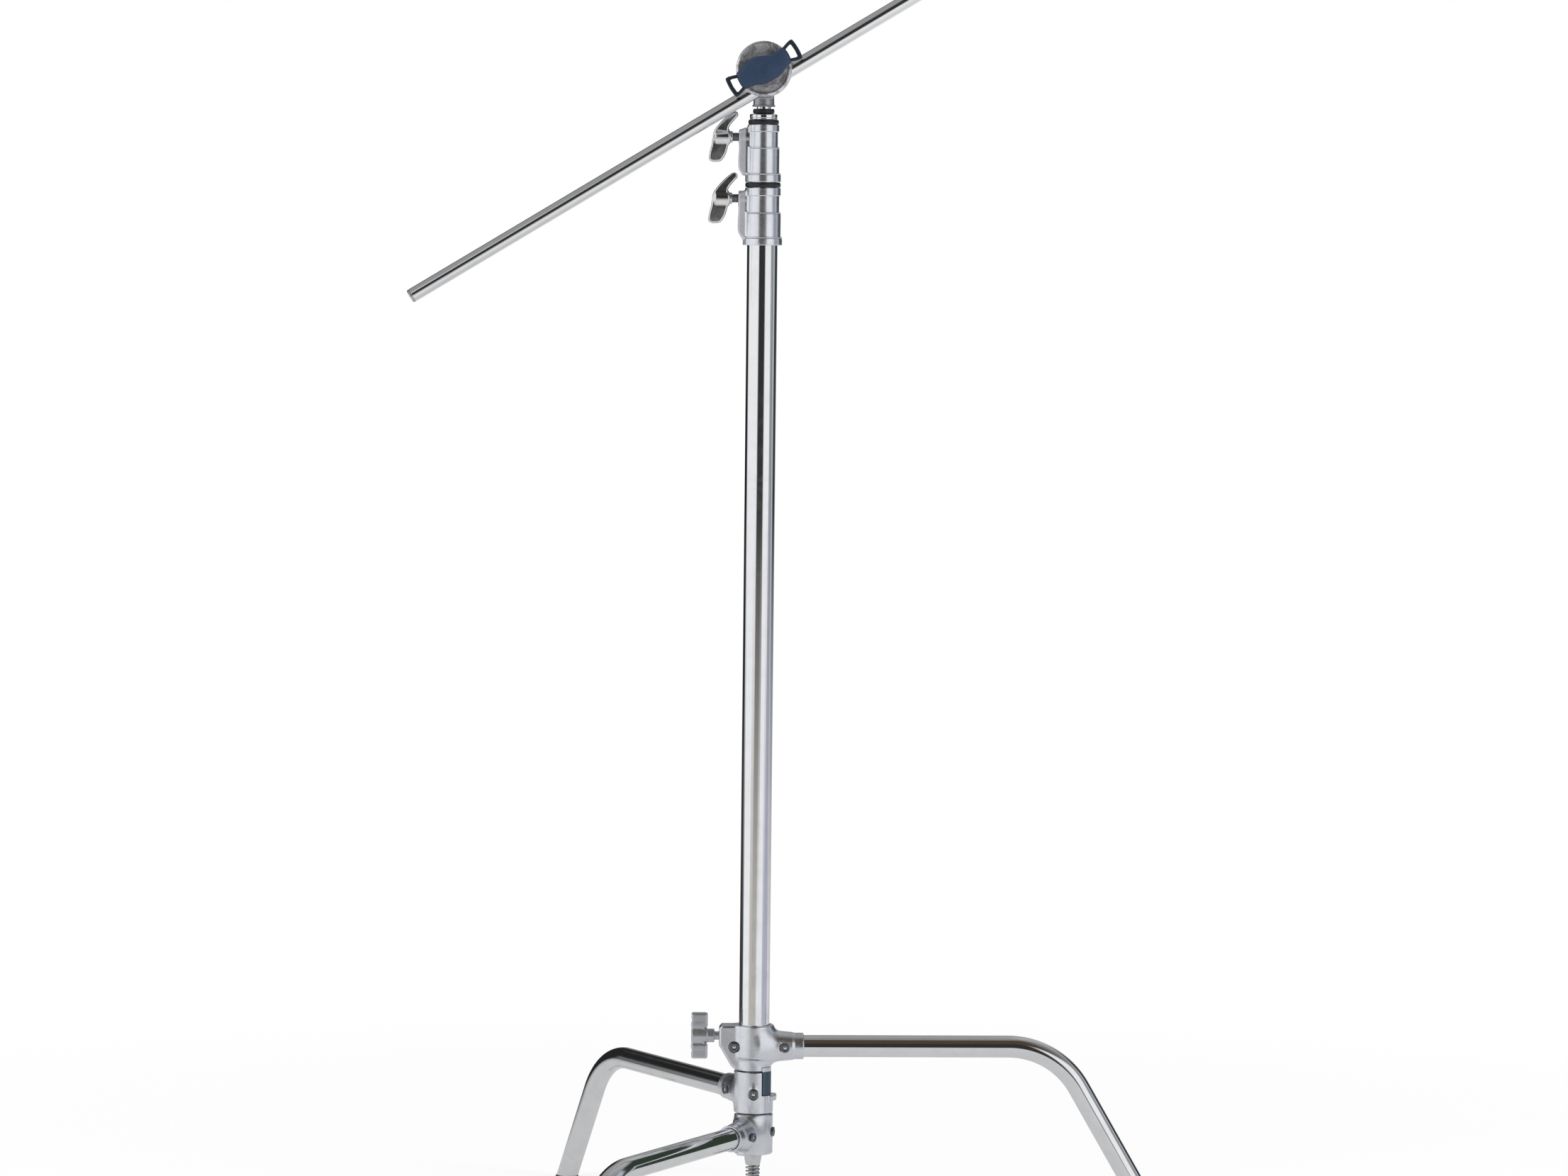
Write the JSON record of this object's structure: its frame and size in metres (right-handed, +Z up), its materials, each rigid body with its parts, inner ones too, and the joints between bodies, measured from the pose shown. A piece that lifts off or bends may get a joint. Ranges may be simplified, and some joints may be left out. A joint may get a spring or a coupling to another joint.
{
  "type": "century lighting stand",
  "caption": "Chrome lighting stand with nesting bent legs, a column with telescoping risers, wing locking screws, and a grip head holding a long arm.",
  "frame": {"origin": "on the floor under the middle of the whole stand, with the top leg out to the right", "axes": "+Z up along the column, +X to the right towards the raised end of the arm, -Y to the front, where the handle of the grip head faces"},
  "size_m": [0.8994, 0.7882, 1.6169],
  "materials": {
    "chrome": "bright chrome plate on steel tube",
    "casting": "bright silver casting, lightly polished",
    "steel": "zinc-plated turned steel",
    "rubber": "black moulded rubber",
    "nylon": "natural nylon",
    "brass": "turned brass",
    "fibre": "pressed friction fibre",
    "handle_blue": "dark blue moulded handle with a soft sheen"
  },
  "bodies": {
    "base": {"low_hub": "casting", "low_leg": "chrome", "low_foot": "rubber", "low_leg_screw": "steel", "post_screw": "steel", "centre_post": "steel", "draw_rod": "steel", "spring_cup": "chrome", "draw_spring": "steel", "draw_nut": "steel"},
    "mid_leg_set": {"mid_hub": "casting", "mid_leg": "chrome", "mid_foot": "rubber", "mid_leg_screw": "steel"},
    "top_leg_set": {"top_hub": "casting", "top_leg": "chrome", "top_foot": "rubber", "top_leg_screw": "steel", "lug_screw": "steel"},
    "base_knob_shoe": {"base_knob_pad": "brass"},
    "base_knob_turning": {"base_knob": "chrome"},
    "column": {"column_tube": "chrome", "column_plug": "steel", "lower_collar": "casting", "lower_bush": "nylon", "lower_bumper": "rubber"},
    "lower_screw_shoe": {"lower_screw_pad": "brass"},
    "lower_wing": {"lower_wing_screw": "chrome"},
    "riser_2": {"riser_2_tube": "chrome", "riser_2_shoe": "nylon", "upper_collar": "casting", "upper_bush": "nylon", "upper_bumper": "rubber"},
    "upper_screw_shoe": {"upper_screw_pad": "brass"},
    "upper_wing": {"upper_wing_screw": "chrome"},
    "riser_3": {"riser_3_tube": "chrome", "riser_3_shoe": "nylon", "top_pin": "chrome", "pin_ring": "rubber"},
    "head": {"head_base": "casting", "friction_disc": "fibre", "head_bolt": "steel"},
    "head_lock_shoe": {"head_lock_pad": "brass"},
    "head_lock": {"head_lock_screw": "chrome"},
    "jaws": {"inner_jaw": "casting", "jaw_spring": "steel"},
    "arm": {"arm_tube": "chrome", "arm_cap_low": "steel", "arm_cap_high": "steel"},
    "clamp_jaw": {"outer_jaw": "casting", "handle_washer": "steel"},
    "handle": {"head_handle": "handle_blue"}
  },
  "joints": [
    {"name": "mid_leg_swing", "type": "hinge", "parent": "base", "child": "mid_leg_set", "pos_m": [-0.0455, -0.00604, 0.1678], "axis": [0, 0, 1], "range_deg": [0, 112]},
    {"name": "top_leg_swing", "type": "hinge", "parent": "mid_leg_set", "child": "top_leg_set", "pos_m": [-0.0455, -0.00604, 0.222], "axis": [0, 0, 1], "range_deg": [0, 112]},
    {"name": "base_knob_travel", "type": "slide", "parent": "top_leg_set", "child": "base_knob_shoe", "axis": [-1, 0, 0], "range_m": [0, 0.00225]},
    {"name": "base_knob_turn", "type": "hinge", "parent": "base_knob_shoe", "child": "base_knob_turning", "pos_m": [-0.1055, -0.00604, 0.2336], "axis": [-1, 0, 0], "range_deg": [0, 540]},
    {"name": "column_lift", "type": "slide", "parent": "top_leg_set", "child": "column", "axis": [0, 0, 1], "range_m": [0, 0.12]},
    {"name": "lower_screw_travel", "type": "slide", "parent": "column", "child": "lower_screw_shoe", "axis": [-1, 0, 0], "range_m": [0, 0.00225]},
    {"name": "lower_wing_turn", "type": "hinge", "parent": "lower_screw_shoe", "child": "lower_wing", "pos_m": [-0.0905, -0.00604, 1.1986], "axis": [-1, 0, 0], "range_deg": [0, 540]},
    {"name": "riser_2_slide", "type": "slide", "parent": "column", "child": "riser_2", "axis": [0, 0, 1], "range_m": [0, 0.86]},
    {"name": "upper_screw_travel", "type": "slide", "parent": "riser_2", "child": "upper_screw_shoe", "axis": [-1, 0, 0], "range_m": [0, 0.00225]},
    {"name": "upper_wing_turn", "type": "hinge", "parent": "upper_screw_shoe", "child": "upper_wing", "pos_m": [-0.0905, -0.00604, 1.2686], "axis": [-1, 0, 0], "range_deg": [0, 540]},
    {"name": "riser_3_slide", "type": "slide", "parent": "riser_2", "child": "riser_3", "axis": [0, 0, 1], "range_m": [0, 0.86]},
    {"name": "head_swivel", "type": "hinge", "parent": "riser_3", "child": "head", "pos_m": [-0.0455, -0.00604, 1.32], "axis": [0, 0, 1], "continuous": true},
    {"name": "head_lock_travel", "type": "slide", "parent": "head", "child": "head_lock_shoe", "axis": [0, 1, 0], "range_m": [0, 0.00225]},
    {"name": "head_lock_turn", "type": "hinge", "parent": "head_lock_shoe", "child": "head_lock", "pos_m": [-0.0455, 0.02196, 1.337], "axis": [0, 1, 0], "range_deg": [0, 540]},
    {"name": "arm_tilt", "type": "hinge", "parent": "head", "child": "jaws", "pos_m": [-0.0455, -0.03404, 1.3452], "axis": [0, -1, 0], "continuous": true},
    {"name": "arm_slide", "type": "slide", "parent": "jaws", "child": "arm", "axis": [0.8545, 0, 0.5195], "range_m": [-0.48, 0.42]},
    {"name": "clamp_travel", "type": "slide", "parent": "jaws", "child": "clamp_jaw", "axis": [0, -1, 0], "range_m": [0, 0.004]},
    {"name": "handle_turn", "type": "hinge", "parent": "clamp_jaw", "child": "handle", "pos_m": [-0.0455, -0.06604, 1.3452], "axis": [0, -1, 0], "range_deg": [0, 720]}
  ],
  "couplings": [
    {"joint": "base_knob_turn", "follows": "base_knob_travel", "rad_per_m": 4188.8},
    {"joint": "lower_wing_turn", "follows": "lower_screw_travel", "rad_per_m": 4188.8},
    {"joint": "upper_wing_turn", "follows": "upper_screw_travel", "rad_per_m": 4188.8},
    {"joint": "head_lock_turn", "follows": "head_lock_travel", "rad_per_m": 4188.8},
    {"joint": "handle_turn", "follows": "clamp_travel", "rad_per_m": 3141.6}
  ]
}
